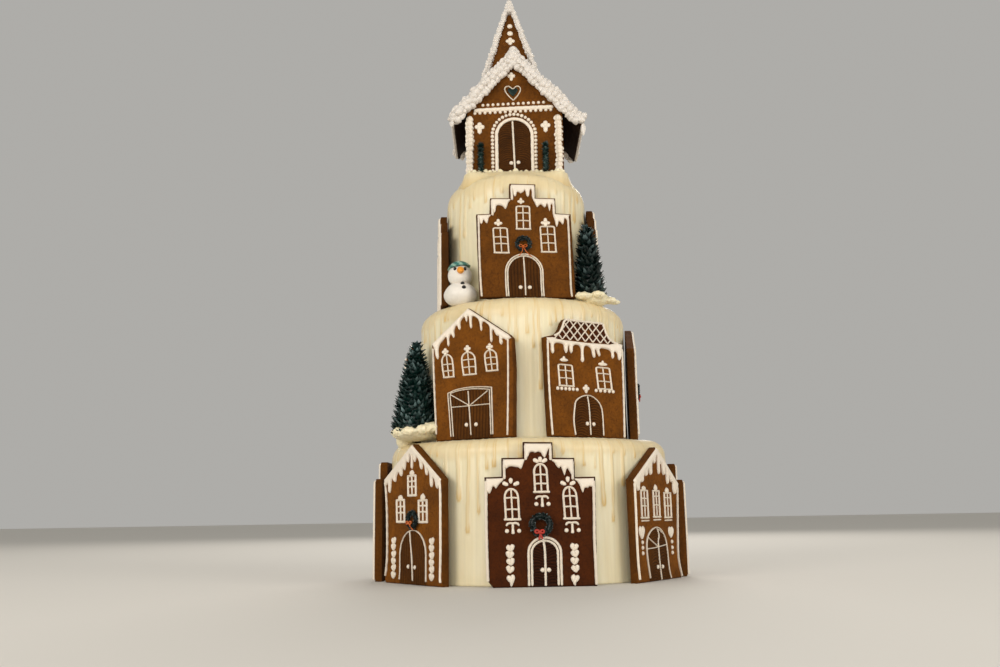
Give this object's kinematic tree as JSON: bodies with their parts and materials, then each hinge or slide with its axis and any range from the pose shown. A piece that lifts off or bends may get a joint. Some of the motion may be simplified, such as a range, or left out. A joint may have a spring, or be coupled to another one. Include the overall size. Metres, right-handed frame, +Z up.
{
  "type": "christmas cake",
  "caption": "Tall tiered Christmas cake in ivory icing, ringed with piped gingerbread houses, with a gingerbread church and steeple on top, fir trees and a snowman.",
  "frame": {"origin": "middle of the bottom tier's flat underside, at the height of the surface the cake stands on", "axes": "+Z up through the tiers to the steeple's tip, -Y out of the front through the middle house of the bottom tier, +X to the right as seen from the front"},
  "size_m": [0.2963, 0.2892, 0.609],
  "materials": {
    "ivory_icing": "satin",
    "dark_gingerbread": "matt",
    "gingerbread": "matt",
    "white_icing": "matt",
    "leaf_green_icing": "satin",
    "teal_fondant": "matt"
  },
  "bodies": {
    "root": {"tier_bottom": "ivory_icing", "tier_middle": "ivory_icing", "tier_top": "ivory_icing", "house_bottom_front": "dark_gingerbread", "house_bottom_front_left": "gingerbread", "house_bottom_front_right": "gingerbread", "house_bottom_left": "gingerbread", "house_bottom_right": "gingerbread", "house_bottom_back_left": "gingerbread", "house_bottom_back_right": "gingerbread", "house_middle_front_left": "gingerbread", "house_middle_front_right": "gingerbread", "house_middle_right": "gingerbread", "house_middle_back_right": "gingerbread", "house_middle_back_left": "gingerbread", "house_middle_left": "gingerbread", "house_top_front": "gingerbread", "house_top_left": "gingerbread", "house_top_right": "gingerbread", "house_top_back": "gingerbread", "wreath_bottom_front": "leaf_green_icing", "wreath_bottom_front_left": "leaf_green_icing", "wreath_middle_right": "leaf_green_icing", "wreath_top_front": "leaf_green_icing", "church_front_wall": "gingerbread", "church_back_wall": "gingerbread", "church_left_wall": "gingerbread", "church_right_wall": "gingerbread", "church_roof_left": "gingerbread", "church_roof_right": "gingerbread", "steeple_right": "gingerbread", "steeple_back": "gingerbread", "steeple_left": "gingerbread", "steeple_front": "gingerbread", "steeple_finial": "white_icing", "topiary_left": "leaf_green_icing", "topiary_right": "leaf_green_icing", "snowman_body": "white_icing", "snowman_head": "white_icing", "snowman_hat": "teal_fondant", "snow_bank_left": "white_icing", "fir_left": "leaf_green_icing", "snow_bank_right": "white_icing", "fir_right": "leaf_green_icing"}
  },
  "joints": []
}
